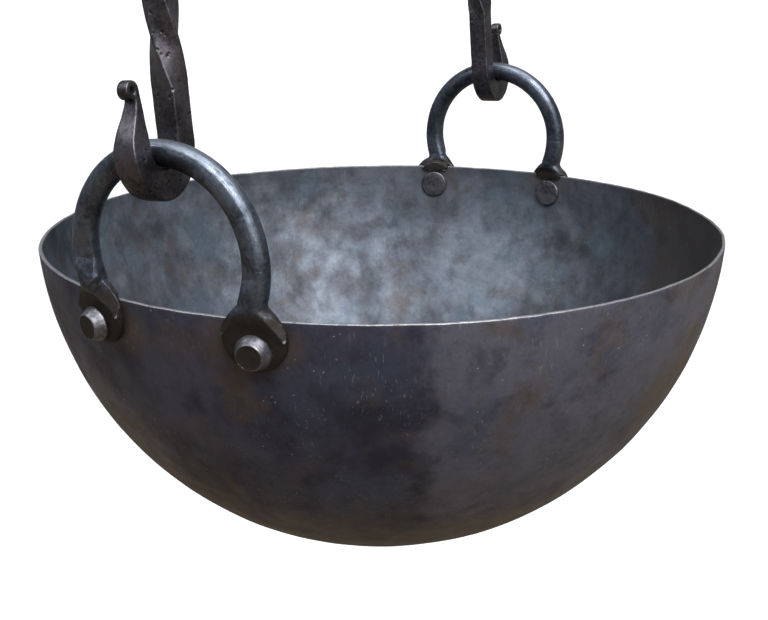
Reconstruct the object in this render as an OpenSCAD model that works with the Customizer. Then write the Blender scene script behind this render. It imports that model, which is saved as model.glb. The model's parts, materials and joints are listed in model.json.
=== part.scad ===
// Hanging forged fire bowl: a round steel bowl with two riveted horseshoe handles,
// held by two twisted square-bar hangers. Millimetres, +Z up, X through both handles.
// The origin is below the middle of the bowl, at the level of its lowest point.

/* [Bowl] */
// Outside diameter of the rim
bowl_d = 600; // [500:10:700]
// Thickness of the steel sheet
sheet_t = 3; // [2:0.5:4]
// How far the wall leans outward at the rim, in degrees
wall_lean = 3; // [1:0.5:8]
// How far the bowl tips as it hangs at rest, in degrees
hang_tilt = 3.8; // [0:0.1:6]

/* [Handles] */
// Diameter of the round bar
bar_d = 19; // [16:1:22]
// Radius of the arch, to the middle of the bar
arch_r = 72; // [68:1:82]
// Height of the arch's centre above the rim
arch_rise = 37; // [30:1:42]
// Distance of the arch's plane from the middle of the bowl, less the rim's radius
arch_out = -4; // [-6:0.5:2]
// How far the line through both handles is off the middle of the bowl
handle_set = 12; // [0:1:14]

/* [Feet] */
// Distance between the two rivets of a handle
rivet_gap = 136; // [130:1:150]
// Depth of the rivets below the rim
rivet_drop = 20; // [20:1:26]
// Width of the flattened pad round each rivet
pad_w = 48; // [40:1:54]
// Thickness of the pad
pad_t = 7; // [5:0.5:9]
// Width of the lip that grips the inside of the rim
lip_w = 30; // [24:1:36]
// Depth of that lip below the rim
lip_drop = 5; // [4:0.5:5]
// Thickness of that lip
lip_t = 4; // [3:0.5:6]

/* [Rivets] */
// Diameter of the shank, and of its holes
rivet_d = 12; // [8:1:14]
// Diameter of the outer head where it meets the pad
head_d = 27; // [22:1:30]
// Diameter of the outer head's flat top
head_top_d = 19; // [12:1:20]
// Height of the outer head
head_h = 9; // [6:0.5:11]
// Diameter of the inner head
inner_head_d = 29; // [20:1:29]
// Thickness of the inner head
inner_head_t = 4; // [3:0.5:5]

/* [Hangers] */
// Side of the square bar
square = 19; // [16:1:22]
// Inside radius of the hook
throat_r = 14; // [12:0.5:17]
// Gap between the bar and the bottom of the hook, in the middle of the hook
seat_gap = 1.2; // [1.1:0.1:1.5]
// Height of the hook's free arm above the middle of the hook
arm_h = 40; // [36:1:50]
// Thickness of the arm's tip, and of the curl on it
tip_t = 5; // [4:0.5:7]
// Width of the tip
tip_w = 9; // [8:1:14]
// Radius of the curl, to the middle of its thickness
curl_r = 4.5; // [4.5:0.5:7]
// Height of the straight shank above the middle of the hook
shank_h = 36; // [30:1:50]
// Length of the twisted stretch, which is half a turn
twist_h = 125; // [100:5:150]

/* [Eyes] */
// Diameter of the hole in each hanger's eye
eye_hole_d = 24; // [18:1:28]
// Outside diameter of the eye
eye_d = 50; // [46:1:60]
// Thickness of the eye
eye_t = 14; // [12:1:18]
// Chamfer along the eye's edges
eye_chamfer = 1.5; // [1:0.5:2.5]

/* [Hidden] */
$fn = 96;

bar_r = bar_d / 2;
rim_r = bowl_d / 2;
ball_r = rim_r / cos(wall_lean);
// Heights over the ball's centre, in the bowl's own frame
rim_z = -ball_r * sin(wall_lean);
arch_z = rim_z + arch_rise;
arch_x = rim_r + arch_out;
foot_half = rivet_gap / 2;
// The rivet's pad sits a little above the rivet itself
pad_up = 7;
neck_h = 14;
bar_end_h = 3;
// Heights above the rim of the lip's inner edge, of its side edges and of the pad's top
lip_inner_h = 2;
lip_side_h = 3;
pad_top_h = 4;
// The foot's outline goes this far past the pad's round bottom
pad_spare = 2;
// The outer head stands this far off the pad
head_clear = 0.2;
// The straight bar between the twist and the eye
eye_neck_h = 4;
// How far solids that are one piece reach into each other
overlap = 1;
// Long enough to pass through any piece
through = 100;
bar_end_angle = asin((arch_rise - bar_end_h) / arch_r);

// The row frame is centred on the tilted bowl's box
set_y = -ball_r * (1 - cos(wall_lean + hang_tilt)) / 2;
axis_y = set_y + handle_set * cos(hang_tilt) - arch_z * sin(hang_tilt);
axis_z = ball_r + handle_set * sin(hang_tilt) + arch_z * cos(hang_tilt);
hook_z = axis_z + arch_r + throat_r - bar_r - seat_gap;
hook_r = throat_r + square / 2;
eye_z = shank_h + twist_h + eye_neck_h + eye_d / 2;

blackened = [0.16, 0.16, 0.18];
forged = [0.22, 0.21, 0.22];
worn = [0.40, 0.38, 0.37];
dark_bar = [0.19, 0.18, 0.19];

// From the bowl's own frame, with the ball's centre at 0, to how it hangs
module hung() {
    translate([0, set_y, ball_r]) rotate([hang_tilt, 0, 0]) children();
}

// A ball with everything above the rim cut off
module cup(r) {
    intersection() {
        sphere(r);
        translate([0, 0, rim_z - 2 * r]) cylinder(r = 2 * r, h = 2 * r);
    }
}

module sheet() {
    difference() {
        cup(ball_r);
        sphere(ball_r - sheet_t);
    }
}

// Children with their X axis square to the wall, at a distance below the rim
module on_wall(y, drop) {
    up = rim_z - drop;
    level_r = sqrt(pow(ball_r, 2) - pow(up, 2));
    rotate([0, 0, asin(y / level_r)]) rotate([0, -asin(up / ball_r), 0])
        translate([ball_r, 0, 0]) children();
}

module rivet_hole(y) {
    on_wall(y, rivet_drop) rotate([0, 90, 0])
        cylinder(d = rivet_d, h = through, center = true);
}

module rivet_shape(y) {
    pad_face = pad_t + head_clear;
    on_wall(y, rivet_drop) rotate([0, 90, 0]) {
        translate([0, 0, -sheet_t - overlap])
            cylinder(d = rivet_d, h = sheet_t + overlap + pad_face);
        translate([0, 0, pad_face]) cylinder(d1 = head_d, d2 = head_top_d, h = head_h);
        difference() {
            translate([0, 0, -sheet_t - inner_head_t])
                cylinder(d = inner_head_d, h = inner_head_t + overlap);
            translate([0, 0, -ball_r])
                difference() {
                    sphere(ball_r + sheet_t);
                    sphere(ball_r - sheet_t);
                }
        }
    }
}

// Cross-section of a foot: u is outward from the rim's edge, v is up from it
module foot_profile(bar_u, with_lip) {
    lean = -asin((rim_z - rivet_drop) / ball_r);
    wall_u = sqrt(pow(ball_r, 2) - pow(rim_z - rivet_drop, 2)) - rim_r;
    face_top = wall_u + pad_t + (rivet_drop - lip_drop) * tan(lean);
    low = rivet_drop - pad_up + pad_w / 2 + pad_spare;
    face_low = wall_u + pad_t - (low - rivet_drop) * tan(lean);
    mid_low = sqrt(pow(ball_r, 2) - pow(rim_z - low, 2)) - rim_r - sheet_t / 2;
    if (with_lip)
        polygon([
            [-sheet_t - lip_t, -lip_drop], [-sheet_t - lip_t, lip_inner_h], [bar_u - bar_r, neck_h],
            [bar_u + bar_r, neck_h], [bar_u + bar_r, neck_h / 3], [face_top, -lip_drop]
        ]);
    else
        polygon([
            [-sheet_t / 2, pad_top_h], [face_top + lip_drop * tan(lean), pad_top_h],
            [face_low, -low], [mid_low, -low]
        ]);
}

module prism_side(w) {
    rotate([90, 0, 0]) linear_extrude(w, center = true) children();
}

module prism_front(depth) {
    rotate([90, 0, 90]) linear_extrude(depth, center = true) children();
}

// One foot, which steps over the rim: side is 1 or -1
module foot(side) {
    y = handle_set + side * foot_half;
    turn = asin(y / rim_r);
    bar_u = arch_x * cos(turn) + y * sin(turn) - rim_r;
    bar_shift = side * (sqrt(pow(arch_r, 2) - pow(arch_rise - neck_h, 2)) - foot_half);
    difference() {
        rotate([0, 0, turn]) translate([rim_r, 0, rim_z]) {
            intersection() {
                prism_front(through) translate([0, pad_up - rivet_drop]) circle(d = pad_w);
                prism_side(pad_w * 2) foot_profile(bar_u, false);
            }
            intersection() {
                prism_front(through) polygon([
                    [-lip_w / 2, -lip_drop], [lip_w / 2, -lip_drop], [lip_w / 2, lip_side_h],
                    [bar_shift + bar_r, neck_h], [bar_shift - bar_r, neck_h],
                    [-lip_w / 2, lip_side_h]
                ]);
                prism_side(pad_w * 2) foot_profile(bar_u, true);
            }
        }
        sheet();
        rivet_hole(y);
    }
}

// A handle on the +X side of the bowl
module handle() {
    foot(1);
    foot(-1);
    translate([arch_x, handle_set, arch_z]) rotate([90, 0, 90])
        rotate([0, 0, -bar_end_angle]) rotate_extrude(angle = 180 + 2 * bar_end_angle)
            translate([arch_r, 0]) circle(d = bar_d);
}

// Outline of the hook's free arm: its inner edge is straight and its back slopes in
module arm_outline() {
    steps = 8;
    back = [for (i = [0:steps]) let (t = i / steps)
        [throat_r + tip_t + (square - tip_t) * (1 - t * t * (3 - 2 * t)), arm_h * t]];
    polygon(concat([[throat_r, arm_h], [throat_r, 0]], back));
}

// A hanger with the middle of its hook at 0 and its shank on the +X side
module hanger() {
    mirror([1, 0, 0]) {
        rotate([90, 0, 0]) rotate([0, 0, 180]) rotate_extrude_square(hook_r, square, square, 180);
        intersection() {
            prism_side(square) arm_outline();
            prism_front(through) polygon([
                [-square / 2, 0], [square / 2, 0], [tip_w / 2, arm_h], [-tip_w / 2, arm_h]
            ]);
        }
        translate([throat_r + tip_t / 2 + curl_r, 0, arm_h]) rotate([90, 0, 0])
            rotate([0, 0, -90]) rotate_extrude_square(curl_r, tip_t, tip_w, 270);
        translate([-hook_r - square / 2, -square / 2, 0]) cube([square, square, shank_h]);
        translate([-hook_r, 0, shank_h])
            linear_extrude(twist_h, twist = 180, slices = 40, $fn = 16) square_of(square);
        translate([-hook_r - square / 2, -square / 2, shank_h + twist_h])
            cube([square, square, eye_neck_h * 2]);
        translate([-hook_r, 0, eye_z]) eye();
    }
}

module square_of(s) {
    translate([-s / 2, -s / 2]) square(s);
}

// An arc of square bar in the XY plane, from +X: thick across the arc, wide along Z
module rotate_extrude_square(r, thick, wide, angle) {
    rotate_extrude(angle = angle) translate([r - thick / 2, -wide / 2]) square([thick, wide]);
}

module eye() {
    in_r = eye_hole_d / 2;
    out_r = eye_d / 2;
    half = eye_t / 2;
    c = eye_chamfer;
    rotate([90, 0, 0]) rotate_extrude() polygon([
        [in_r, -half + c], [in_r + c, -half], [out_r - c, -half], [out_r, -half + c],
        [out_r, half - c], [out_r - c, half], [in_r + c, half], [in_r, half - c]
    ]);
}

module bowl() {
    color(blackened) hung() difference() {
        sheet();
        for (side = [-1, 1]) {
            rivet_hole(handle_set + side * foot_half);
            mirror([1, 0, 0]) rivet_hole(handle_set + side * foot_half);
        }
    }
}

module handle_right() {
    color(forged) hung() handle();
}

module handle_left() {
    color(forged) hung() mirror([1, 0, 0]) handle();
}

module rivet_right(side) {
    color(worn) hung() rivet_shape(handle_set + side * foot_half);
}

module rivet_left(side) {
    color(worn) hung() mirror([1, 0, 0]) rivet_shape(handle_set + side * foot_half);
}

module hanger_left() {
    color(dark_bar) translate([-arch_x, axis_y, hook_z]) hanger();
}

module hanger_right() {
    color(dark_bar) translate([arch_x, axis_y, hook_z]) rotate([0, 0, 180]) hanger();
}

bowl();
handle_left();
handle_right();
rivet_left(-1);  // rivet_left_front
rivet_left(1);  // rivet_left_rear
rivet_right(-1);  // rivet_right_front
rivet_right(1);  // rivet_right_rear
hanger_left();
hanger_right();
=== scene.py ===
import json
from math import asin, cos, pi, radians, sin, sqrt

import bpy
import numpy as np
from mathutils import Matrix, Vector, noise


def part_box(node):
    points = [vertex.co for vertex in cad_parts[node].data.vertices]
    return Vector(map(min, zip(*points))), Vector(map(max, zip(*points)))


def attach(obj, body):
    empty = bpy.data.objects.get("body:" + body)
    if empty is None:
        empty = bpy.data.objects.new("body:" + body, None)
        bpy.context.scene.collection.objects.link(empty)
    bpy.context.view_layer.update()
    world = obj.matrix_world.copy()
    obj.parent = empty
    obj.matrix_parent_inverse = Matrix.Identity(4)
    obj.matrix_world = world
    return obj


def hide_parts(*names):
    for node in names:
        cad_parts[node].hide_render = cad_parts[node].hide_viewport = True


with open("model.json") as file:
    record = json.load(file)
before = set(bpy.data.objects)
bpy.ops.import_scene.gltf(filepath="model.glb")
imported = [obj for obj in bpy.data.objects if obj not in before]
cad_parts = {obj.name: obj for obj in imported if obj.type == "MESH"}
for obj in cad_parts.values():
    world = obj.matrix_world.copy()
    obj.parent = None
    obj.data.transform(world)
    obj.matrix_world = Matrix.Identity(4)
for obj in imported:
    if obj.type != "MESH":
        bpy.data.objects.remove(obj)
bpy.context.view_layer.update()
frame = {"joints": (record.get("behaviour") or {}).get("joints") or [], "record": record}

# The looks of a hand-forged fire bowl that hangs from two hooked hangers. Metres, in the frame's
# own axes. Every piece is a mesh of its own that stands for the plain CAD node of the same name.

MM = 0.001

# Driving dimensions, as on the CAD part
WALL_LEAN = radians(3)
HANG_TILT = radians(3.8)
SHEET = 3 * MM
BAR_R = 9.5 * MM
ARCH_R = 72 * MM
ARCH_RISE = 37 * MM
HANDLE_SET = 12 * MM
FOOT_HALF = 68 * MM
BAR_END_H = 11 * MM
RIVET_DROP = 20 * MM
PAD_UP = 7 * MM
PAD_R = 24 * MM
PAD_T = 7 * MM
LIP_HALF = 15 * MM
LIP_DROP = 5 * MM
LIP_T = 4 * MM
SADDLE_H = 5.5 * MM
HEAD_R = 13.5 * MM
HEAD_TOP_R = 9.5 * MM
HEAD_H = 9 * MM
INNER_HEAD_R = 14.5 * MM
INNER_HEAD_T = 4 * MM
SQUARE = 19 * MM
THROAT_R = 14 * MM
ARM_H = 40 * MM
TIP_T = 5 * MM
TIP_W = 9 * MM
CURL_R = 4.5 * MM
BEND_MORE = 3 * MM
SHANK_H = 36 * MM
TWIST_H = 125 * MM
RIGHT_PLAIN_H = 60 * MM
EYE_HOLE_R = 12 * MM
EYE_T = 14 * MM

# From the frame: the ball that the bowl is part of, the handles' plane, the hooks and the eyes
bowl_lo, bowl_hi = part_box("bowl")
RIM_R = (bowl_hi.x - bowl_lo.x) / 2
BALL_R = RIM_R / cos(WALL_LEAN)
RIM_Z = -BALL_R * sin(WALL_LEAN)
ARCH_Z = RIM_Z + ARCH_RISE
SET_Y = -BALL_R * (1 - cos(WALL_LEAN + HANG_TILT)) / 2
HUNG = Matrix.Translation((0, SET_Y, BALL_R)) @ Matrix.Rotation(HANG_TILT, 4, "X")
TIP_HINGE, SLIDE_HINGE = (Vector(joint["pos_m"]) for joint in frame["joints"])
ARCH_X = SLIDE_HINGE.x
hanger_lo, hanger_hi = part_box("hanger_left")
HOOK_R = THROAT_R + SQUARE / 2
HOOK_Z = hanger_lo.z + THROAT_R + SQUARE
EYE_AT = Vector(frame["record"]["mounts"][0]["pos_m"])
EYE_R = hanger_hi.z - EYE_AT.z


# How a distance to the nearest cell's middle becomes a hammer mark's height
FACET_GAIN = 2.4
FACET_SHIFT = 1.1


# ---------------------------------------------------------------- mesh helpers


def ease(t):
    return t * t * (3 - 2 * t)


def unit(v):
    return v / np.linalg.norm(v, axis=-1, keepdims=True)


def ring_faces(rows, around, closed=False):
    """Quads between neighbouring rings of points."""
    faces = []
    for i in range(rows if closed else rows - 1):
        a, b = i * around, (i + 1) % rows * around
        faces += [(a + j, a + (j + 1) % around, b + (j + 1) % around, b + j) for j in range(around)]
    return faces


def new_mesh(name, verts, faces):
    mesh = bpy.data.meshes.new(name)
    mesh.from_pydata([tuple(v) for v in verts], [], faces)
    mesh.validate()
    mesh.update()
    return mesh


def solid_of_rings(grid, closed=False):
    """Points and faces of a closed solid. The grid holds rings of points; open ends get a fan."""
    rows, around, _ = grid.shape
    verts, faces = list(grid.reshape(-1, 3)), ring_faces(rows, around, closed)
    if not closed:
        for row, order in ((0, 1), (rows - 1, -1)):
            verts.append(grid[row].mean(0))
            base = row * around
            faces += [(base + (j + 1) % around, base + j, len(verts) - 1)[::order] for j in range(around)]
    return verts, faces


def joined(solids):
    """Several solids, each given as points and faces, as one list of points and one of faces."""
    verts, faces = [], []
    for solid_verts, solid_faces in solids:
        faces += [tuple(i + len(verts) for i in face) for face in solid_faces]
        verts += list(solid_verts)
    return verts, faces


def outline(half_a, half_b, corner, per_corner=6, per_side=5):
    """A rectangle with round corners, as points round its middle. It is a circle if all three are equal."""
    corner = min(corner, half_a, half_b)
    points = []
    quarters = ((1, 1), (-1, 1), (-1, -1), (1, -1))
    for k, (sign_a, sign_b) in enumerate(quarters):
        middle = np.array([sign_a * (half_a - corner), sign_b * (half_b - corner)])
        turn = np.linspace(k * pi / 2, (k + 1) * pi / 2, per_corner)
        arc = middle + corner * np.stack([np.cos(turn), np.sin(turn)], 1)
        points.append(arc)
        # The straight side from here to where the next corner's arc starts
        next_a, next_b = quarters[(k + 1) % 4]
        start = np.array([next_a * (half_a - corner), next_b * (half_b - corner)])
        start = start + corner * np.array([cos((k + 1) * pi / 2), sin((k + 1) * pi / 2)])
        share = np.linspace(0, 1, per_side + 2)[1:-1, None]
        points.append(arc[-1] + share * (start - arc[-1]))
    return np.concatenate(points)


def sweep(middles, axes_a, axes_b, halves_a, halves_b, corners, closed=False):
    """A solid with a round-cornered section at each station, across the two axes given there."""
    rings = []
    stations = zip(middles, axes_a, axes_b, halves_a, halves_b, corners)
    for middle, axis_a, axis_b, half_a, half_b, corner in stations:
        section = outline(half_a, half_b, corner)
        rings.append(middle + section[:, :1] * axis_a + section[:, 1:] * axis_b)
    return solid_of_rings(np.array(rings), closed)


def fused(name, solids, voxel):
    """One skin round solids that reach into each other, as forging leaves it."""
    rough = bpy.data.objects.new(name + "_rough", new_mesh(name + "_rough", *joined(solids)))
    bpy.context.scene.collection.objects.link(rough)
    remesh = rough.modifiers.new("skin", "REMESH")
    remesh.mode = "VOXEL"
    remesh.voxel_size = voxel
    bpy.context.view_layer.update()
    mesh = bpy.data.meshes.new_from_object(rough.evaluated_get(bpy.context.evaluated_depsgraph_get()))
    mesh.name = name
    bpy.data.objects.remove(rough)
    return mesh


def points_of(mesh):
    co = np.zeros(len(mesh.vertices) * 3)
    mesh.vertices.foreach_get("co", co)
    return co.reshape(-1, 3)


def normals_of(mesh):
    mesh.update()
    no = np.zeros(len(mesh.vertices) * 3)
    mesh.vertex_normals.foreach_get("vector", no)
    return no.reshape(-1, 3)


def set_points(mesh, co):
    mesh.vertices.foreach_set("co", co.ravel())
    mesh.update()


def neighbours(mesh):
    """A function that gives each vertex the mean of its neighbours' values."""
    ends = np.zeros(len(mesh.edges) * 2, int)
    mesh.edges.foreach_get("vertices", ends)
    a, b = ends.reshape(-1, 2).T
    count = np.maximum(np.bincount(a, minlength=len(mesh.vertices))
                       + np.bincount(b, minlength=len(mesh.vertices)), 1)

    def mean(values):
        columns = [np.bincount(a, c[b], len(count)) + np.bincount(b, c[a], len(count)) for c in values.T]
        return np.stack(columns, 1) / count[:, None]

    return mean


def smooth(mesh, times, share=0.5):
    mean, co = neighbours(mesh), points_of(mesh)
    for _ in range(times):
        co = co + share * (mean(co) - co)
    set_points(mesh, co)


def noise_at(points, size, seed):
    """Smooth noise from -1 to 1 with features of about that size."""
    shift = Vector((seed * 7.31, seed * 3.17, seed * 5.77))
    return np.array([noise.noise(Vector(p) / size + shift) for p in points])


def facets_at(points, size, seed):
    """From -1 in the middle of a hammer mark to 1 on the ridges between the marks."""
    shift = Vector((seed * 2.3, seed * 9.1, seed * 4.7))
    nearest = [noise.voronoi(Vector(p) / size + shift, distance_metric="DISTANCE", exponent=2)[0][0]
               for p in points]
    return np.clip(np.array(nearest) * FACET_GAIN - FACET_SHIFT, -1, 1)


def attribute(mesh, name, values):
    layer = mesh.attributes.get(name) or mesh.attributes.new(name, "FLOAT", "POINT")
    layer.data.foreach_set("value", np.asarray(values, np.float32))


def mark_edges(mesh, reach, gain):
    """Stores how far each place stands out (worn) or lies in a hollow (hollow), from 0 to 1."""
    mean, co, normal = neighbours(mesh), points_of(mesh), normals_of(mesh)
    wide = co
    for _ in range(reach):
        wide = mean(wide)
    out = ((co - wide) * normal).sum(1) * gain
    attribute(mesh, "worn", np.clip(out, 0, 1))
    attribute(mesh, "hollow", np.clip(-out, 0, 1))


def shade_smooth(mesh):
    mesh.polygons.foreach_set("use_smooth", np.ones(len(mesh.polygons), bool))
    mesh.update()


def placed(name, mesh, matrix, body, materials):
    """The finished piece in the row frame, in place of the CAD node of that name."""
    mesh.transform(matrix)
    if matrix.determinant() < 0:
        mesh.flip_normals()
    shade_smooth(mesh)
    piece = bpy.data.objects.new("forged_" + name, mesh)
    bpy.context.scene.collection.objects.link(piece)
    for material in materials:
        mesh.materials.append(material)
    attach(piece, body)
    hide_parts(name)
    return piece


# ---------------------------------------------------------------- materials

SHEET_SPECULAR = 0.4
BAR_SPECULAR = 0.35


class Nodes:
    """Short calls for the nodes of one material."""

    def __init__(self, name):
        self.material = bpy.data.materials.new(name)
        self.material.use_nodes = True
        self.tree = self.material.node_tree
        self.shader = self.tree.nodes["Principled BSDF"]
        self.place = self.tree.nodes.new("ShaderNodeTexCoord").outputs["Object"]

    def put(self, kind, inputs=(), **settings):
        node = self.tree.nodes.new(kind)
        for key, value in settings.items():
            setattr(node, key, value)
        for key, value in dict(inputs).items():
            if isinstance(value, bpy.types.NodeSocket):
                self.tree.links.new(value, node.inputs[key])
            else:
                node.inputs[key].default_value = value
        return node

    def stretched(self, scale, turn=(0, 0, 0)):
        node = self.put("ShaderNodeMapping", {"Vector": self.place, "Scale": scale, "Rotation": turn})
        return node.outputs[0]

    def noise(self, size, detail=4, rough=0.55, bend=0.0, place=None):
        """Noise from 0 to 1 with features of that size in metres."""
        inputs = {"Vector": place or self.place, "Scale": 1 / size, "Detail": detail,
                  "Roughness": rough, "Distortion": bend}
        return self.put("ShaderNodeTexNoise", inputs).outputs["Fac"]

    def cells(self, size):
        """The distance to the nearest of many scattered middles, about that far apart in metres."""
        node = self.put("ShaderNodeTexVoronoi", {"Vector": self.place, "Scale": 1 / size})
        return node.outputs["Distance"]

    def band(self, value, low, high):
        """0 below low and 1 above high, or the other way round if low is the higher."""
        inputs = {"Value": value, "From Min": low, "From Max": high, "To Min": 0.0, "To Max": 1.0}
        return self.put("ShaderNodeMapRange", inputs, interpolation_type="SMOOTHSTEP").outputs[0]

    def spread(self, value, low, high):
        """Noise spread from low to high: its middle half, 0.25 to 0.75, takes up the whole span."""
        inputs = {"Value": value, "From Min": 0.25, "From Max": 0.75, "To Min": low, "To Max": high}
        return self.put("ShaderNodeMapRange", inputs).outputs[0]

    def sum(self, a, b):
        return self.put("ShaderNodeMath", {0: a, 1: b}, operation="ADD").outputs[0]

    def times(self, a, b):
        return self.put("ShaderNodeMath", {0: a, 1: b}, operation="MULTIPLY").outputs[0]

    def mix(self, share, a, b):
        node = self.put("ShaderNodeMix", data_type="RGBA")
        for socket, value in ((0, share), (6, a), (7, b)):
            if isinstance(value, bpy.types.NodeSocket):
                self.tree.links.new(value, node.inputs[socket])
            else:
                node.inputs[socket].default_value = (*value, 1) if socket else value
        return node.outputs[2]

    def mark(self, name):
        """A value stored on the mesh by this script."""
        return self.put("ShaderNodeAttribute", attribute_name=name).outputs["Fac"]

    def bump(self, layers):
        """Bumps from (height, depth in metres) pairs, one on top of the other."""
        normal = None
        for height, depth in layers:
            inputs = {"Height": height, "Distance": depth, "Strength": 1.0}
            if normal is not None:
                inputs["Normal"] = normal
            normal = self.put("ShaderNodeBump", inputs).outputs[0]
        self.tree.links.new(normal, self.shader.inputs["Normal"])

    def finish(self, color, rough, metallic=None, specular=0.5):
        """The finished material, which isn't metallic at all if metallic is left out."""
        self.shader.inputs["Specular IOR Level"].default_value = specular
        self.tree.links.new(color, self.shader.inputs["Base Color"])
        self.tree.links.new(rough, self.shader.inputs["Roughness"])
        if metallic is not None:
            self.tree.links.new(metallic, self.shader.inputs["Metallic"])
        return self.material


def specks(n, size, share):
    """Small scattered spots, more of them where share is higher."""
    spot = n.band(n.cells(size), 0.10, 0.04)
    some = n.band(n.noise(size * 7, 4), 0.78 - share, 0.84 - share)
    return n.times(spot, some)


def scratches(n, width, turn):
    """Fine straight marks, most of them along one direction."""
    place = n.stretched((1, 1, 0.05), turn)
    line = n.band(n.noise(width, 2, 0.5, 0, place), 0.66, 0.72)
    return n.times(line, n.band(n.noise(0.05, 2), 0.45, 0.6))


def bowl_steel(name, dark, light, brown, blue, bare, lit, inside):
    """Blackened sheet: mottled scale, brown oil stains, fine specks and scratches, bare where it rubs, with
    painted light and painted shade in some patches.
    """
    n = Nodes(name)
    clouds = n.noise(0.075, 6, 0.62, 0.2)
    blotches = n.noise(0.026, 7, 0.64, 0.2)
    grain = n.noise(0.0036, 5, 0.7)
    runs = n.noise(0.024, 7, 0.66, 0.2, n.stretched((1, 1, 0.55)))
    tone = n.sum(n.times(clouds, 0.5), n.sum(n.times(blotches, 0.3), n.times(runs, 0.2)))
    color = n.mix(n.band(tone, 0.38, 0.62), dark, light)
    # Lighter patches laid down by heat and oil, and partly painted light where the lamps fall, whose places
    # are stored on the mesh
    ragged = n.sum(n.times(n.sum(clouds, -0.5), 1.1), n.times(n.sum(runs, -0.5), 0.9))
    if inside:
        patch = n.band(n.sum(n.mark("patch"), ragged), 0.15, 1.10)
    else:
        patch = n.band(n.sum(n.mark("patch"), n.times(ragged, 0.6)), 0.36, 0.66)
        patch = n.times(patch, n.spread(blotches, 0.65, 1.0))
    color = n.mix(n.times(patch, 0.85), color, lit)
    # Tints of temper blue and of old oil, in soft clouds of their own
    color = n.mix(n.times(n.band(n.noise(0.052, 6, 0.62, 0.3), 0.48, 0.66), 0.60), color, blue)
    color = n.mix(n.times(n.band(n.noise(0.036, 6, 0.64, 0.3), 0.50, 0.70), 0.60), color, dark)
    # Brown stains; inside, a dark lump on the wall that faces away from the lamps is painted shade
    stain_and_shade = n.sum(n.mark("stain_and_shade"), n.times(n.sum(n.noise(0.05, 6, 0.6), -0.5), 1.0))
    color = n.mix(n.times(n.band(stain_and_shade, 0.32, 0.9), 0.75), color, brown)
    color = n.mix(n.times(n.band(n.noise(0.044, 7, 0.66, 0.3), 0.52, 0.68), 0.55), color, brown)
    color = n.mix(n.times(n.band(grain, 0.45, 0.70), 0.22), color, dark)
    rub = specks(n, 0.0085, 0.16 if inside else 0.25)
    rub = n.sum(rub, n.times(scratches(n, 0.0016, (0.9, 0.5, 0.4)), 0.3))
    rub = n.sum(rub, n.times(scratches(n, 0.0022, (1.5, 0.3, 0.9)), 0.25))
    worn = n.sum(n.mark("worn"), n.times(n.sum(n.noise(0.007, 6, 0.75), -0.5), 1.5))
    worn = n.band(worn, 0.60, 1.05)
    color = n.mix(n.times(rub, 0.55), color, bare)
    color = n.mix(n.times(worn, 0.75), color, bare)
    rough = n.spread(blotches, 0.58, 0.38)
    rough = n.sum(rough, n.times(patch, -0.05))
    metallic = n.sum(n.times(worn, 0.4), 0.45 if inside else 0.35)
    dents = (n.noise(0.030, 2, 0.4), 0.0018 if inside else 0.0006)
    n.bump((dents, (blotches, 0.0005), (grain, 0.00022), (n.noise(0.0012, 3), 0.00006)))
    return n.finish(color, rough, metallic, SHEET_SPECULAR)


def bar_steel(name, dark, light, brown, bare, rub_depth, polish_and_sheen, streaked=0.0, pitted=0.0):
    """Forged bar: dark scale, brown in the hollows, burnished where hands and hooks rub, and a painted
    highlight on top of a handle's crown.
    """
    n = Nodes(name)
    # Fine streaks along the bar, which show in its bumps, in the burnish and in the painted highlight on a
    # handle's crown
    split = n.put("ShaderNodeSeparateXYZ", {0: n.place}).outputs
    lengthwise = {"X": n.times(n.mark("along"), 0.06), "Y": split["X"], "Z": n.mark("off_axis")}
    streaks = n.noise(0.0022, 5, 0.6, 0, n.put("ShaderNodeCombineXYZ", lengthwise).outputs[0])
    clouds = n.noise(0.030, 4, 0.6, 0.4)
    grain = n.noise(0.0032, 5, 0.68)
    pits = n.times(n.band(n.cells(0.0052), 0.34, 0.05), n.band(n.noise(0.020, 3), 0.44, 0.58))
    color = n.mix(n.band(n.sum(n.times(clouds, 0.6), n.times(grain, 0.4)), 0.36, 0.64), dark, light)
    rust = n.sum(n.mark("hollow"), n.sum(n.mark("stain_and_shade"), n.times(n.sum(n.noise(0.012, 5), -0.5), 1.1)))
    rusty = n.band(rust, 0.3, 0.9)
    color = n.mix(n.times(rusty, 0.95), color, brown)
    color = n.mix(n.times(pits, pitted), color, brown)
    worn = n.sum(n.mark("worn"), n.times(n.sum(n.noise(0.0028, 5, 0.7), -0.5), 0.9))
    worn = n.band(worn, rub_depth, rub_depth + 0.5)
    uneven = n.sum(n.times(n.sum(n.noise(0.008, 6, 0.7), -0.5), 0.8),
                   n.times(n.sum(streaks, -0.5), 1.6 * streaked))
    # Bright bare steel: burnish where it rubs, and on top of a handle's crown also a painted highlight
    silver = n.times(n.band(n.sum(n.mark("polish_and_sheen"), uneven), 0.42, 0.85), polish_and_sheen)
    color = n.mix(silver, color, bare)
    color = n.mix(n.times(worn, 0.8), color, bare)
    rough = n.spread(n.noise(0.008, 5, 0.6), 0.46, 0.32)
    rough = n.sum(rough, n.sum(n.times(n.sum(worn, silver), -0.04), n.times(rusty, 0.16)))
    metallic = n.sum(n.times(rusty, -0.5), 0.9)
    n.bump(((n.noise(0.012, 3, 0.5), 0.00022), (grain, 0.00016), (pits, -0.0006 * pitted - 0.00004),
            (streaks, 0.00022 * streaked)))
    return n.finish(color, rough, metallic, BAR_SPECULAR)


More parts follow.
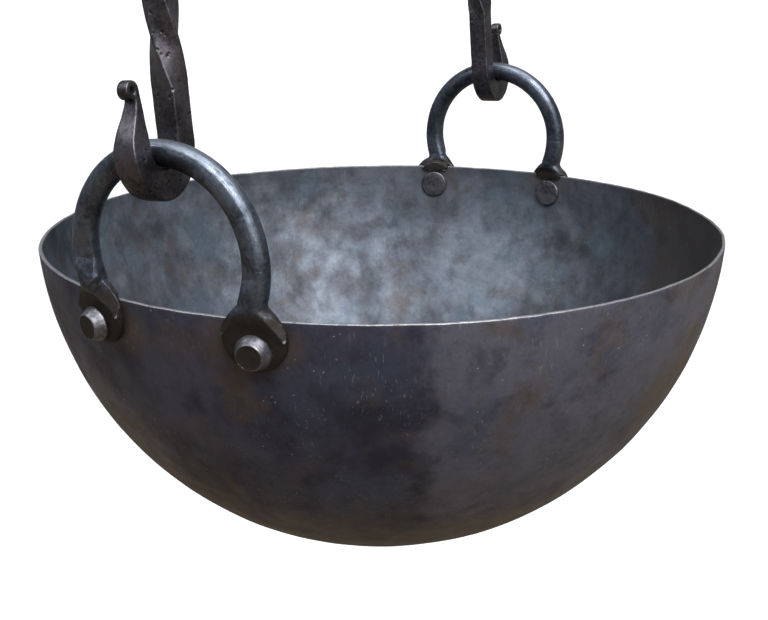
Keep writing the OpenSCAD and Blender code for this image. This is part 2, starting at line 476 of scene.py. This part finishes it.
outer_steel = bowl_steel(
    "blackened_sheet_outside", dark=(0.022, 0.021, 0.036), light=(0.068, 0.066, 0.100),
    brown=(0.088, 0.066, 0.044), blue=(0.044, 0.056, 0.088), bare=(0.46, 0.45, 0.44),
    lit=(0.124, 0.123, 0.152), inside=False)
# The inside is lighter and bluer than the outside: partly ash and heat scale, partly painted light standing
# in for the sky's bluish reflection in the bowl
inner_steel = bowl_steel(
    "blackened_sheet_inside", dark=(0.038, 0.039, 0.048), light=(0.100, 0.112, 0.136),
    brown=(0.080, 0.062, 0.054), blue=(0.088, 0.122, 0.152), bare=(0.42, 0.41, 0.39),
    lit=(0.195, 0.220, 0.258), inside=True)
handle_steel = bar_steel(
    "forged_round_bar", dark=(0.043, 0.049, 0.061), light=(0.145, 0.164, 0.200),
    brown=(0.015, 0.010, 0.006), bare=(0.44, 0.48, 0.54), rub_depth=0.55, polish_and_sheen=0.6, streaked=1.0)
hanger_steel = bar_steel(
    "forged_square_bar", dark=(0.042, 0.037, 0.042), light=(0.128, 0.117, 0.130),
    brown=(0.026, 0.019, 0.016), bare=(0.24, 0.235, 0.26), rub_depth=0.50, polish_and_sheen=0.6, streaked=0.5,
    pitted=0.9)
rivet_steel = bar_steel(
    "worn_rivet", dark=(0.050, 0.047, 0.052), light=(0.170, 0.164, 0.178),
    brown=(0.020, 0.015, 0.010), bare=(0.39, 0.38, 0.42), rub_depth=0.36, polish_and_sheen=0.6)


# ---------------------------------------------------------------- the bowl

BOWL_AROUND = 420
BOWL_DOWN = 110
# The rows end this far short of the lowest point, as an angle
LOWEST_GAP = 0.012
# The row that runs along the middle of the rim's edge, counted from the lowest row outside
CROWN_ROW = BOWL_DOWN + 2
# The walls are set back by this much, which leaves room for the dents
DENT_ROOM = 0.4 * MM


def on_ball(radius, around, down):
    """Points in the ball's own frame, at an angle round it and an angle below its middle."""
    circle_r = radius * np.cos(down)
    return np.stack([circle_r * np.cos(around), circle_r * np.sin(around), -radius * np.sin(down)], -1)


def bowl_mesh():
    """The sheet from the lowest point outside, over the rim's edge, to the lowest point inside."""
    around = np.linspace(0, 2 * pi, BOWL_AROUND, endpoint=False)[None, :]
    share = np.linspace(0, 1, BOWL_DOWN)[:, None]
    # Rows are closer together near the rim, where the eye looks, and end just short of the lowest point
    down = WALL_LEAN + (pi / 2 - LOWEST_GAP - WALL_LEAN) * (0.4 * share + 0.6 * share ** 2)
    around, down = np.broadcast_arrays(around, down)
    flat = on_ball(BALL_R, around, down).reshape(-1, 3)
    waves = noise_at(flat, 0.11, 1) * 1.1 * MM + noise_at(flat, 0.045, 2) * 0.45 * MM
    marks = facets_at(flat, 0.036, 3) * 0.38 * MM + noise_at(flat, 0.018, 4) * 0.16 * MM
    dent = (waves + marks).reshape(down.shape)
    # The dents are shallower outside, where the handles' feet lie on the wall, and deeper inside
    outer = on_ball(BALL_R - DENT_ROOM + dent * 0.55, around, down)
    inner = on_ball(BALL_R - SHEET - DENT_ROOM + dent * 1.25, around, down)
    rim_line = on_ball(BALL_R - SHEET / 2, around[:1], down[:1])[0]
    lift = noise_at(rim_line, 0.09, 5) * 0.7 * MM + noise_at(rim_line, 0.012, 6) * 0.35 * MM
    fade = np.exp(-(down[:, :1] - WALL_LEAN) / radians(2.2))
    for wall in (outer, inner):
        wall[..., 2] += lift[None, :] * fade - 0.5 * MM * fade
    burr = noise_at(rim_line, 0.008, 7) * 0.45 * MM
    out_dir = unit(rim_line * [1, 1, 0])
    crown = []
    for share_in, height in ((0.06, 0.55), (0.25, 0.95), (0.5, 1.1), (0.75, 0.95), (0.94, 0.55)):
        middle = outer[0] + (inner[0] - outer[0]) * share_in
        middle = middle + out_dir * (burr * (0.5 - share_in))[:, None]
        middle[:, 2] += height * (0.8 * MM + 0.5 * np.abs(burr))
        crown.append(middle)
    rows = np.concatenate([outer[::-1], np.array(crown), inner])
    verts, faces = solid_of_rings(rows)
    mesh = new_mesh("bowl_sheet", verts, faces)
    # Worn along the crown and a little down each side of it
    row = np.arange(len(rows))
    from_crown = np.abs(row - CROWN_ROW)
    worn = np.exp(-(np.maximum(from_crown - 2.0, 0) / 0.8) ** 2)[:, None] * np.ones(BOWL_AROUND)
    attribute(mesh, "worn", np.append(worn.ravel(), [0, 0]))
    # The last two points close the bowl at its lowest place, outside and inside
    points = np.concatenate([rows.reshape(-1, 3), np.array(verts[-2:])])
    inside = np.append(np.repeat(row > CROWN_ROW, BOWL_AROUND), [False, True])
    mark_patches(mesh, points, inside)
    is_inner = np.array([min(p.vertices) >= CROWN_ROW * BOWL_AROUND for p in mesh.polygons])
    mesh.polygons.foreach_set("material_index", is_inner.astype(int))
    return mesh


def lump(around, down, at, size):
    """1 at a place on the ball, given in degrees, and falling off with an angle size across and down it."""
    across = (around - radians(at[0]) + pi) % (2 * pi) - pi
    return np.exp(-(across / radians(size[0])) ** 2 - ((down - radians(at[1])) / radians(size[1])) ** 2)


def lumps(around, down, rows):
    """Lumps added up, each with its strength, its place and its size."""
    return sum(strength * lump(around, down, at, size) for strength, at, size in rows)


def mark_patches(mesh, points, inside):
    """Where the lighter patches (partly heat patina, partly painted light) and the brown stains and painted
    shade lie, outside and inside.
    """
    around = np.arctan2(points[:, 1], points[:, 0])
    down = np.arcsin(np.clip(-points[:, 2] / np.linalg.norm(points, axis=1), -1, 1))
    rivets = [np.degrees(np.arctan2(y, x)) for x in (-RIM_R, RIM_R)
              for y in (HANDLE_SET - FOOT_HALF, HANDLE_SET + FOOT_HALF)]
    # Outside: a lighter field that starts at a sharp upright edge and fades away from it, partly patina and
    # partly painted light on the side the lamps light
    field = 1 / (1 + np.exp(-(around - radians(-147)) / radians(3.5)))
    field = field * np.clip((radians(-70) - around) / radians(35), 0, 1)
    field = field * np.clip((radians(62) - down) / radians(30), 0, 1)
    field = field + lumps(around, down, ((0.8, (60, 20), (40, 22)), (0.7, (150, 30), (30, 18))))
    # Outside: brown low down, round the rivets and in a few stains
    low = 1.1 * np.clip((down - radians(30)) / radians(26), 0, 1)
    low = low + lumps(around, down, [(0.75, (rivet, 6), (6.5, 4.5)) for rivet in rivets])
    low = low + lumps(around, down, (
        (0.5, (-95, 18), (16, 14)), (0.4, (180, 8), (20, 6)), (0.55, (-122, 12), (6, 5)),
        (0.5, (-100, 24), (9, 8)), (0.35, (-178, 20), (14, 10)), (0.5, (160, 32), (20, 14))))
    # Inside: lightest on the wall across from the near handle, partly patina and partly painted light where
    # the lamps fall
    bright = lumps(around, down, (
        (0.75, (0, 23), (22, 17)), (0.40, (48, 20), (30, 16)), (0.60, (96, 14), (34, 14)),
        (0.5, (-150, 30), (40, 20)), (0.2, (35, 50), (60, 25))))
    # Inside: brown in two places, by the rim and round the rivets, and dark brown painted shade on the wall
    # at -66 degrees that faces away from the lamps
    soot_and_painted_shade = lumps(around, down, ((1.6, (-66, 14), (26, 30)), (0.4, (160, 8), (20, 12))))
    soot_and_painted_shade = soot_and_painted_shade + 0.40 * np.clip((radians(10) - down) / radians(6), 0, 1)
    soot_and_painted_shade = soot_and_painted_shade + lumps(around, down, [(0.5, (rivet, 6.5), (5, 5)) for rivet in rivets])
    attribute(mesh, "patch", np.where(inside, bright, field))
    attribute(mesh, "stain_and_shade", np.where(inside, soot_and_painted_shade, low))


placed("bowl", bowl_mesh(), HUNG, "bowl_and_handles", (outer_steel, inner_steel))


# ---------------------------------------------------------------- the handles

VOXEL = 0.85 * MM


def wall_u(v):
    """How far the wall's outer face lies outside the rim's edge, at a height above it."""
    return sqrt(max(BALL_R ** 2 - (RIM_Z + v) ** 2, 0)) - RIM_R


def bar_solid(seed):
    """The arch of round bar, whose ends reach down into the feet."""
    end = asin((ARCH_RISE - BAR_END_H) / ARCH_R)
    turns = np.linspace(-end, pi + end, 150)
    ray = np.stack([0 * turns, np.cos(turns), np.sin(turns)], 1)
    middles = np.array([ARCH_X, HANDLE_SET, ARCH_Z]) + ray * ARCH_R
    # A bar is never quite round after forging: flatter towards its feet
    foot = np.clip((0.25 - np.sin(turns)) / 0.6, 0, 1)
    wave = noise_at(middles, 0.05, seed) * 0.25 * MM
    across = BAR_R - 0.1 * MM + wave
    deep = BAR_R - 0.1 * MM - wave - foot * 0.5 * MM
    axis_x = np.tile([1.0, 0, 0], (len(turns), 1))
    return sweep(middles, ray, axis_x, across, deep, deep * (1 - 0.25 * foot))


def foot_frame(side):
    """A function from (outward, along the rim, up) to a point, the foot's turn, and its first two axes."""
    y = HANDLE_SET + side * FOOT_HALF
    turn = asin(y / RIM_R)
    out, along = np.array([cos(turn), sin(turn), 0]), np.array([-sin(turn), cos(turn), 0])
    base = out * RIM_R + np.array([0, 0, RIM_Z])

    def at(u, w, v):
        return base + out * (u - w * w / (2 * RIM_R)) + along * w + np.array([0, 0, v])

    return at, turn, out, along


def foot_solids(side):
    """Neck, pad and lip of one foot, where the bar steps over the rim."""
    at, turn, out, along = foot_frame(side)
    return [pad_solid(at), neck_solid(at, turn, side, out, along), lip_solid(at, out, along),
            saddle_solid(at, out, along)]


def shaved(co, at, facing, reach):
    """A flat blow of the hammer: what stands past the plane, near the place, is beaten back to it."""
    facing = unit(np.array(facing))
    off = co - at
    past = np.maximum(off @ facing, 0)
    near = np.clip(3 - 3 * np.linalg.norm(off, axis=1) / reach, 0, 1)
    return co - (past * near)[:, None] * facing


def flat_blows(co, side):
    """Flats on both shoulders of a foot, and two above it where the bar was held to be bent."""
    at, _, out, along = foot_frame(side)
    up = np.array([0, 0, 1.0])
    face = wall_u(0) + PAD_T
    for hand, depth, reach in ((-1, 1.7 * MM, 18 * MM), (1, 0.8 * MM, 14 * MM)):
        place = at(face, hand * 18 * MM, 1 * MM)
        facing = out * 0.80 + along * hand * 0.66 + up * 0.30
        co = shaved(co, place - unit(facing) * depth, facing, reach)
    leg = ARCH_X + BAR_R - (1.5 if side > 0 else 0.3) * MM
    for rise, lean in ((12 * MM, 0.35), (34 * MM, -0.25)):
        reach = sqrt(ARCH_R ** 2 - (ARCH_RISE - rise - BAR_END_H) ** 2)
        place = np.array([leg, HANDLE_SET + side * reach, RIM_Z + rise + BAR_END_H])
        co = shaved(co, place, (1.0, -0.25 * side, lean), 14 * MM)
    return co


def pad_solid(at):
    """A round pad beaten thin at its edge, which lies on the wall."""
    rays = np.linspace(0, 2 * pi, 96, endpoint=False)
    rings = []
    middle_v = PAD_UP - RIVET_DROP
    profile = [(0.96, -1.2 * MM), (1.0, 1.5 * MM), (0.995, PAD_T - 3.2 * MM), (0.955, PAD_T - 1.5 * MM),
               (0.88, PAD_T - 0.5 * MM), (0.7, PAD_T), (0.35, PAD_T + 0.1 * MM)]
    for share, height in profile:
        ring = []
        for ray in rays:
            w, v = PAD_R * share * cos(ray), middle_v + PAD_R * share * sin(ray)
            ring.append(at(wall_u(min(v, 6 * MM)) + height, w, v))
        rings.append(ring)
    return solid_of_rings(np.array(rings))


def neck_solid(at, turn, side, out, along):
    """From the round bar above the rim to the pad, with sloping shoulders."""
    heights = np.linspace(22 * MM, -13 * MM, 44)
    middles, ha, hb, corner = [], [], [], []
    for v in heights:
        reach = sqrt(ARCH_R ** 2 - (ARCH_RISE - max(v, BAR_END_H - 2 * MM)) ** 2)
        bar_y = HANDLE_SET + side * reach
        bar_u = ARCH_X * cos(turn) + bar_y * sin(turn) - RIM_R
        shift = bar_y * cos(turn) - ARCH_X * sin(turn)
        shift = shift * np.clip((v + 8 * MM) / (BAR_END_H + 6 * MM), 0, 1)
        low = ease(np.clip((15 * MM - v) / (22 * MM), 0, 1))
        # It stands a little proud of the pad at the rim and runs into it further down
        face = wall_u(min(v, 4 * MM)) + PAD_T + min(0.9 * MM, 0.9 * MM + v * 0.13)
        inner_u = (bar_u - BAR_R) * (1 - low) + (-SHEET - 0.5 * MM) * low
        outer_u = (bar_u + BAR_R) * (1 - low) + face * low
        if v < 1 * MM:
            inner_u = -SHEET / 2
        middles.append(at((inner_u + outer_u) / 2, shift, v))
        ha.append((outer_u - inner_u) / 2)
        # The top of the neck stays inside the bar, so that no edge shows where it starts
        inside = 1 - 0.25 * np.clip((v - BAR_END_H - 2 * MM) / (8 * MM), 0, 1)
        ha[-1] = ha[-1] * inside
        hb.append(BAR_R * inside + (PAD_R - 0.6 * MM - BAR_R) * low)
        corner.append(min(ha[-1], BAR_R) * (1 - 0.72 * low))
    axes = np.tile(out, (len(heights), 1)), np.tile(along, (len(heights), 1))
    return sweep(np.array(middles), *axes, ha, hb, corner)


def lip_solid(at, out, along):
    """The part that is beaten over the rim and grips the bowl's inside."""
    heights = np.linspace(6 * MM, -LIP_DROP + 0.4 * MM, 24)
    middles, ha, hb, corner = [], [], [], []
    for v in heights:
        low = ease(np.clip((6 * MM - v) / (6 * MM), 0, 1))
        tail = sqrt(max(1 - max((1 * MM - v) / (LIP_DROP + 1.2 * MM), 0) ** 2, 0.02))
        inner_u = -SHEET - (LIP_T - 0.8 * MM) * (0.45 + 0.55 * tail)
        outer_u = -SHEET / 2 if v < 2 * MM else 4 * MM
        middles.append(at((inner_u + outer_u) / 2, 0, v))
        ha.append((outer_u - inner_u) / 2)
        hb.append((BAR_R * 0.6 + (LIP_HALF - BAR_R * 0.6) * low) * (0.35 + 0.65 * tail))
        corner.append(ha[-1] * 0.8)
    axes = np.tile(out, (len(heights), 1)), np.tile(along, (len(heights), 1))
    return sweep(np.array(middles), *axes, ha, hb, corner)


def saddle_solid(at, out, along):
    """The metal that sits on the rim's edge, between the lip and the pad."""
    heights = np.linspace(-4 * MM, SADDLE_H, 14)
    inner_u, outer_u = -SHEET - LIP_T + 0.6 * MM, wall_u(-RIVET_DROP) + PAD_T
    round_top = np.sqrt(np.clip(1 - np.clip(heights / (SADDLE_H + 0.2 * MM), 0, 1) ** 2.2, 0.01, 1))
    middles = np.array([at((inner_u + outer_u) / 2, 0, v) for v in heights])
    axes = np.tile(out, (len(heights), 1)), np.tile(along, (len(heights), 1))
    half = (outer_u - inner_u) / 2
    return sweep(middles, *axes, half * (0.5 + 0.5 * round_top), LIP_HALF * 0.98 * round_top,
                 half * 0.7 * round_top)


def handle_mesh(name, seed):
    """The right handle with both feet. The left one is its mirror image, with dents of its own."""
    solids = [bar_solid(seed)]
    for side in (-1, 1):
        solids += foot_solids(side)
    mesh = fused(name, solids, VOXEL)
    smooth(mesh, 3)
    co = points_of(mesh)
    for side in (-1, 1):
        co = flat_blows(co, side)
    set_points(mesh, co)
    normal = normals_of(mesh)
    feet = np.clip((RIM_Z + 40 * MM - co[:, 2]) / (35 * MM), 0, 1)
    hammer = facets_at(co, 0.013, seed) * (0.06 + 0.20 * feet) * MM
    hammer = hammer + noise_at(co, 0.009, seed + 1) * (0.05 + 0.13 * feet) * MM
    set_points(mesh, co + normal * hammer[:, None])
    mark_edges(mesh, reach=8, gain=1500)
    # Burnish on the upward-facing top of the crown, where the hook rests, which is also a painted highlight
    # where the lamps above shine on the bar
    crown = np.clip((co[:, 2] - ARCH_Z) / ARCH_R, 0, 1)
    up = np.clip(normals_of(mesh)[:, 2] * 1.1 - 0.1, 0, 1)
    attribute(mesh, "polish_and_sheen", crown ** 0.5 * up)
    off = co - np.array([ARCH_X, HANDLE_SET, ARCH_Z])
    attribute(mesh, "along", np.arctan2(off[:, 2], off[:, 1]) * ARCH_R)
    attribute(mesh, "off_axis", np.hypot(off[:, 1], off[:, 2]))
    attribute(mesh, "stain_and_shade", np.clip((RIM_Z + 20 * MM - co[:, 2]) / (18 * MM), 0, 1) * 0.95)
    return mesh


flip_x = Matrix.Scale(-1, 4, (1, 0, 0))
placed("handle_right", handle_mesh("handle_right", 11), HUNG, "bowl_and_handles",
       (handle_steel,))
placed("handle_left", handle_mesh("handle_left", 23), HUNG @ flip_x, "bowl_and_handles",
       (handle_steel,))


# ---------------------------------------------------------------- the rivets

# The outlines of turned solids end this far from the axis
AXIS_GAP = 0.3 * MM


def turned(profile, around=72):
    """A solid from (radius, height) points, turned about Z."""
    rays = np.linspace(0, 2 * pi, around, endpoint=False)
    return np.array([np.stack([r * np.cos(rays), r * np.sin(rays), 0 * rays + h], 1) for r, h in profile])


def eased(points, radius, steps=5):
    """The outline with each inner corner rounded."""
    result = [points[0]]
    for before, corner, after in zip(points, points[1:], points[2:]):
        a, c, b = (np.array(p, float) for p in (before, corner, after))
        ra = min(radius, np.linalg.norm(a - c) / 2)
        rb = min(radius, np.linalg.norm(b - c) / 2)
        start, end = c + unit(a - c) * ra, c + unit(b - c) * rb
        for t in np.linspace(0, 1, steps):
            result.append(tuple((1 - t) ** 2 * start + 2 * t * (1 - t) * c + t * t * end))
    return result + [points[-1]]


def filled(points, step=1 * MM):
    """The outline with points no further apart than the step."""
    result = [points[0]]
    for a, b in zip(points, points[1:]):
        count = max(1, int(np.hypot(b[0] - a[0], b[1] - a[1]) / step))
        result += [tuple(np.array(a) + (np.array(b) - a) * (k + 1) / count) for k in range(count)]
    return result


def wall_matrix(y, drop):
    """From an axis along +Z that leaves the ball's surface, to a place below the rim."""
    up = RIM_Z - drop
    circle_r = sqrt(BALL_R ** 2 - up ** 2)
    return (Matrix.Rotation(asin(y / circle_r), 4, "Z") @ Matrix.Rotation(-asin(up / BALL_R), 4, "Y")
            @ Matrix.Translation((BALL_R, 0, 0)) @ Matrix.Rotation(pi / 2, 4, "Y"))


def rivet_mesh(name, seed):
    """Both heads of a rivet, on an axis along Z with the wall's outer face at 0."""
    top = PAD_T + HEAD_H
    seat = PAD_T - 1.5 * MM
    head = filled(eased([
        (AXIS_GAP, top - 0.5 * MM), (HEAD_TOP_R - 1.2 * MM, top - 0.4 * MM), (HEAD_TOP_R, top),
        (HEAD_R - 0.3 * MM, PAD_T + 1.6 * MM), (HEAD_R, PAD_T - 0.2 * MM), (HEAD_R - 2 * MM, seat),
        (AXIS_GAP, seat)], 1.1 * MM))
    wall = -SHEET + 1 * MM
    end = -SHEET - INNER_HEAD_T
    inner = filled(eased([
        (AXIS_GAP, wall), (INNER_HEAD_R - 0.6 * MM, wall), (INNER_HEAD_R, -SHEET - 1.2 * MM),
        (INNER_HEAD_R - 1.0 * MM, end + 0.4 * MM), (INNER_HEAD_R * 0.6, end), (AXIS_GAP, end)], 1.0 * MM))
    verts, faces = joined([solid_of_rings(turned(head)), solid_of_rings(turned(inner))])
    mesh = new_mesh(name, verts, faces)
    co, normal = points_of(mesh), normals_of(mesh)
    radius = np.hypot(co[:, 0], co[:, 1])
    hammer = facets_at(co, 0.007, seed) * 0.15 * MM + noise_at(co, 0.005, seed) * 0.10 * MM
    set_points(mesh, co + normal * hammer[:, None])
    mark_edges(mesh, reach=5, gain=1400)
    is_outer = co[:, 2] > 0
    is_top = is_outer & (co[:, 2] > top - 1.0 * MM) & (radius < HEAD_TOP_R - 0.6 * MM)
    is_side = is_outer & ~is_top & (co[:, 2] > PAD_T + 0.8 * MM)
    # The outer head's side is rubbed bright and its top is brown
    attribute(mesh, "polish_and_sheen", np.where(is_side, 0.60, np.where(is_top, 0.0, np.where(is_outer, 0.2, 0.45))))
    attribute(mesh, "stain_and_shade", np.where(is_top, 1.0, np.where(is_outer & ~is_side, 0.6, 0.05)))
    attribute(mesh, "along", radius)
    attribute(mesh, "off_axis", co[:, 2])
    return mesh


for end, flip in (("right", Matrix.Identity(4)), ("left", flip_x)):
    for place, side in (("front", -1), ("rear", 1)):
        name = f"rivet_{end}_{place}"
        at = HUNG @ flip @ wall_matrix(HANDLE_SET + side * FOOT_HALF, RIVET_DROP)
        seed = len(name) * 3 + side
        placed(name, rivet_mesh(name, seed), at, "bowl_and_handles", (rivet_steel,))


# ---------------------------------------------------------------- the hangers

# The tip curls back by this angle, and a short neck leads from the twist into the eye
CURL_TURN = radians(285)
NECK_H = 8 * MM


def hanger_solids(plain):
    """Tip, arm, hook, plain shank and twist as one bar, and the eye on top. The hook's middle is at 0."""
    stations = []  # x, z, direction angle in the XZ plane, half thickness, half width, twist
    curl_x = -(THROAT_R + TIP_T / 2 + CURL_R)
    for a in np.linspace(CURL_TURN, 0, 40, endpoint=False):
        thin = TIP_T / 2 * (1 - 0.25 * a / CURL_TURN)
        stations.append((curl_x + CURL_R * cos(a), ARM_H + CURL_R * sin(a), a - pi / 2, thin, TIP_W / 2, 0))
    for t in np.linspace(1, 0, 34, endpoint=False):
        thick = TIP_T + (SQUARE - TIP_T) * (1 - ease(t))
        wide = SQUARE + (TIP_W - SQUARE) * t
        stations.append((-THROAT_R - thick / 2, ARM_H * t, -pi / 2, thick / 2, wide / 2, 0))
    for a in np.linspace(pi, 2 * pi, 60, endpoint=False):
        more = BEND_MORE / 2 * sin(a) ** 2
        r = HOOK_R + more
        stations.append((r * cos(a), r * sin(a), a + pi / 2, SQUARE / 2 + more, SQUARE / 2, 0))
    for z in np.linspace(0, plain, 24, endpoint=False):
        stations.append((HOOK_R, z, pi / 2, SQUARE / 2, SQUARE / 2, 0))
    for t in np.linspace(0, 1, 90):
        z = plain + (SHANK_H + TWIST_H - plain) * t
        stations.append((HOOK_R, z, pi / 2, SQUARE / 2, SQUARE / 2, pi * t))
    stations.append((HOOK_R, SHANK_H + TWIST_H + NECK_H, pi / 2, SQUARE / 2, SQUARE / 2, pi))
    x, z, heading, ha, hb, twist = np.array(stations).T
    normal = np.stack([-np.sin(heading), 0 * x, np.cos(heading)], 1)
    side = np.tile([0.0, 1, 0], (len(x), 1))
    c, s = np.cos(twist)[:, None], np.sin(twist)[:, None]
    axes = normal * c + side * s, side * c - normal * s
    corner = np.minimum(ha, 3 * MM) * 0.55
    middles = np.stack([x, 0 * x, z], 1)
    bar = sweep(middles, *axes, ha, hb, corner)
    ring_r = (EYE_R + EYE_HOLE_R) / 2
    turns = np.linspace(0, 2 * pi, 120, endpoint=False)
    ray = np.stack([np.cos(turns), 0 * turns, np.sin(turns)], 1)
    middles = np.array([HOOK_R, 0, EYE_AT.z - HOOK_Z]) + ray * ring_r
    half = (EYE_R - EYE_HOLE_R) / 2
    count = np.ones(len(turns))
    eye = sweep(middles, ray, np.tile([0.0, 1, 0], (len(turns), 1)), half * count, EYE_T / 2 * count,
                3 * MM * count, closed=True)
    return [bar, eye]


def hanger_mesh(name, plain, seed):
    mesh = fused(name, hanger_solids(plain), VOXEL)
    smooth(mesh, 2)
    co, normal = points_of(mesh), normals_of(mesh)
    hook = np.clip((SHANK_H - co[:, 2]) / (20 * MM), 0, 1)
    in_eye = np.clip((co[:, 2] - (SHANK_H + TWIST_H)) / NECK_H, 0, 1)
    hammer = facets_at(co, 0.013, seed) * (0.08 + 0.16 * hook) * MM - 0.15 * MM
    hammer = hammer + noise_at(co, 0.008, seed + 1) * 0.09 * MM
    set_points(mesh, co + normal * (hammer * (1 - 0.6 * in_eye))[:, None])
    mark_edges(mesh, reach=6, gain=1500)
    attribute(mesh, "polish_and_sheen", hook * 0.25)
    attribute(mesh, "stain_and_shade", 0.12 + 0 * hook)
    attribute(mesh, "along", co[:, 2])
    attribute(mesh, "off_axis", co[:, 1])
    return mesh


left_at = Matrix.Translation((-ARCH_X, TIP_HINGE.y, HOOK_Z))
right_at = Matrix.Translation((ARCH_X, TIP_HINGE.y, HOOK_Z)) @ Matrix.Rotation(pi, 4, "Z")
placed("hanger_left", hanger_mesh("hanger_left", SHANK_H, 31), left_at, "left_hanger",
       (hanger_steel,))
placed("hanger_right", hanger_mesh("hanger_right", RIGHT_PLAIN_H, 47), right_at, "right_hanger",
       (hanger_steel,))


# ---------------------------------------------------------------- floor, light and camera

FLOOR_GLOW = 0.25


def pale_floor():
    n = Nodes("pale_floor")
    color = n.mix(n.noise(0.6, 3), (0.93, 0.93, 0.925), (0.96, 0.96, 0.955))
    n.shader.inputs["Emission Color"].default_value = (1, 1, 1, 1)
    n.shader.inputs["Emission Strength"].default_value = FLOOR_GLOW
    return n.finish(color, n.spread(n.noise(0.2, 3), 0.85, 0.8))


FLOOR_R = 7
FLOOR_Z = -0.75
COVE_R = 4
cove = [(FLOOR_R + COVE_R * sin(a), COVE_R * (1 - cos(a))) for a in np.linspace(0, pi / 2, 24)]
cove_grid = turned([(0.01, 0)] + cove + [(FLOOR_R + COVE_R, 4 * COVE_R)], 96)
floor_mesh = new_mesh("floor", cove_grid.reshape(-1, 3), ring_faces(*cove_grid.shape[:2]))
shade_smooth(floor_mesh)
floor = bpy.data.objects.new("floor", floor_mesh)
floor.location.z = FLOOR_Z
floor_mesh.materials.append(pale_floor())
bpy.context.scene.collection.objects.link(floor)
# The floor and the cove behind it only show: the object takes its light from the lamps and the room
floor.visible_glossy = False
floor.visible_diffuse = False
floor.visible_shadow = False


def area_light(name, at, aim, size, power, color):
    light = bpy.data.lights.new(name, "AREA")
    light.shape = "RECTANGLE"
    light.size, light.size_y = size
    light.energy = power
    light.color = color
    lamp = bpy.data.objects.new(name, light)
    lamp.location = at
    lamp.rotation_euler = (Vector(aim) - Vector(at)).to_track_quat("-Z", "Y").to_euler()
    bpy.context.scene.collection.objects.link(lamp)


middle = (0, 0, 0.25)
area_light("overhead", (-0.5, -0.3, 2.3), middle, (1.5, 1.5), 20, (0.86, 0.93, 1.0))
area_light("front_left", (-1.25, 1.05, 2.0), middle, (1.2, 1.2), 15, (0.93, 0.97, 1.0))
area_light("front_right", (-0.95, -1.75, 1.25), middle, (1.3, 1.3), 24, (0.96, 0.98, 1.0))

sky = bpy.data.lights.new("soft_sky", "SUN")
sky.energy = 2.7
sky.angle = radians(36)
sky.color = (0.97, 0.98, 1.0)
sky_lamp = bpy.data.objects.new("soft_sky", sky)
sky_lamp.rotation_euler = Vector((0.36, 0.56, -0.75)).to_track_quat("-Z", "Y").to_euler()
bpy.context.scene.collection.objects.link(sky_lamp)

world = bpy.data.worlds.new("pale")
world.use_nodes = True
tree = world.node_tree
looking = tree.nodes.new("ShaderNodeSeparateXYZ")
tree.links.new(tree.nodes.new("ShaderNodeTexCoord").outputs["Generated"], looking.inputs[0])
room = tree.nodes.new("ShaderNodeValToRGB")
warm_below, cool_above = room.color_ramp.elements
warm_below.color = (0.262, 0.217, 0.165, 1)
warm_below.position = 0.30
cool_above.color = (0.245, 0.262, 0.300, 1)
cool_above.position = 0.62
# From straight down at 0 to straight up at 1
steepness = tree.nodes.new("ShaderNodeMapRange")
steepness.inputs["From Min"].default_value = -1
tree.links.new(looking.outputs["Z"], steepness.inputs["Value"])
tree.links.new(steepness.outputs[0], room.inputs[0])
tree.links.new(room.outputs[0], tree.nodes["Background"].inputs["Color"])
bpy.context.scene.world = world
bpy.context.scene.view_settings.view_transform = "Standard"

# The camera looks along +X and a little +Y, from above the rim
CAMERA_AT = Vector((-0.9232, -0.4935, 0.4910))
CAMERA_FORWARD = Vector((0.8491, 0.4573, -0.2644)).normalized()
CAMERA_UP = Vector((0.2651, 0.0642, 0.9621))
CAMERA_LENS = 55.09
CAMERA_SENSOR = 36
camera_data = bpy.data.cameras.new("camera")
camera_data.lens = CAMERA_LENS
camera_data.sensor_width = CAMERA_SENSOR
camera_data.clip_start = 0.02
camera_data.clip_end = 10 * FLOOR_R
camera = bpy.data.objects.new("camera", camera_data)
right = CAMERA_FORWARD.cross(CAMERA_UP).normalized()
up = right.cross(CAMERA_FORWARD)
camera.matrix_world = Matrix((
    (right.x, up.x, -CAMERA_FORWARD.x, CAMERA_AT.x),
    (right.y, up.y, -CAMERA_FORWARD.y, CAMERA_AT.y),
    (right.z, up.z, -CAMERA_FORWARD.z, CAMERA_AT.z),
    (0, 0, 0, 1),
))
bpy.context.scene.collection.objects.link(camera)
bpy.context.scene.camera = camera
